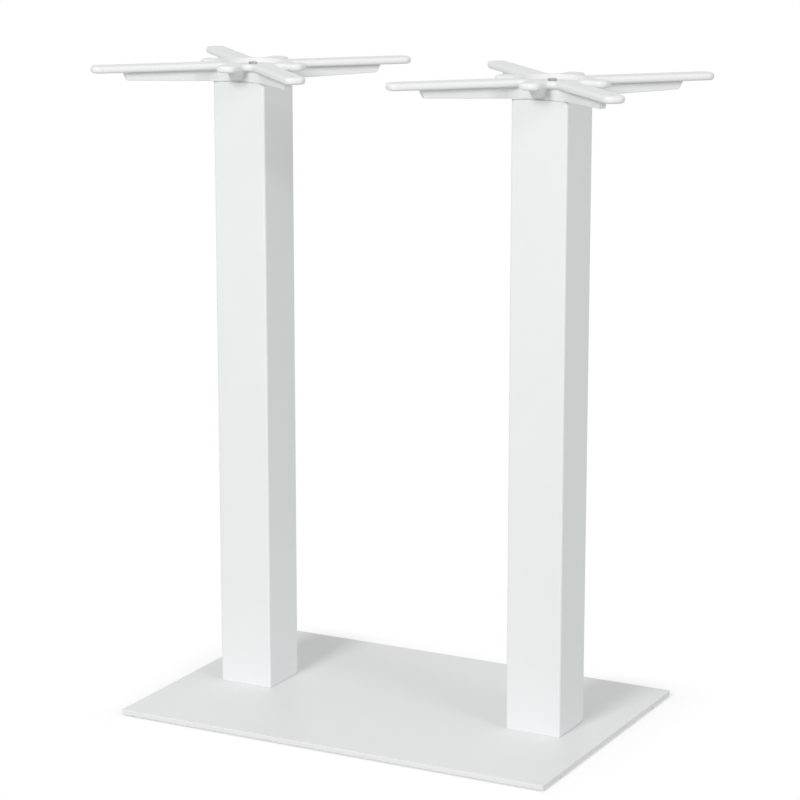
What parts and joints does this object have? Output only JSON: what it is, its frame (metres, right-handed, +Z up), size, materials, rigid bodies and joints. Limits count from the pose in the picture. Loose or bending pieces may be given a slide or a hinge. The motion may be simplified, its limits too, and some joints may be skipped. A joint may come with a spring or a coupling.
{
  "type": "pedestal table base",
  "caption": "White bar-height table base: square steel columns on one flat rectangular floor plate, each topped by a cast star whose arms a table top is screwed to.",
  "frame": {"origin": "on the floor, midway between the two columns, under the middle of the plate", "axes": "+X along the plate from the left column to the right, +Y from front to back, +Z up"},
  "size_m": [0.9698, 0.535, 1.11],
  "materials": {
    "powder_coat_steel": "satin fine-textured powder coat",
    "powder_coat_casting": "satin powder coat over a die casting",
    "yellow_zinc": "yellow passivated zinc",
    "zinc_plate": "clear passivated zinc",
    "bare_steel": "oiled, as cut",
    "glide_plastic": "matt, moulded"
  },
  "bodies": {
    "root": {"base_plate": "powder_coat_steel", "glide_front_left": "glide_plastic", "glide_front_right": "glide_plastic", "glide_back_left": "glide_plastic", "glide_back_right": "glide_plastic", "left_column": "powder_coat_steel", "left_star_top": "powder_coat_casting", "left_tie_rod": "zinc_plate", "left_top_nut": "yellow_zinc", "left_top_washer": "zinc_plate", "left_coupling_nut": "zinc_plate", "left_foot_bolt": "zinc_plate", "left_locator": "bare_steel", "left_locator_screws": "zinc_plate", "right_column": "powder_coat_steel", "right_star_top": "powder_coat_casting", "right_tie_rod": "zinc_plate", "right_top_nut": "yellow_zinc", "right_top_washer": "zinc_plate", "right_coupling_nut": "zinc_plate", "right_foot_bolt": "zinc_plate", "right_locator": "bare_steel", "right_locator_screws": "zinc_plate"}
  },
  "joints": []
}
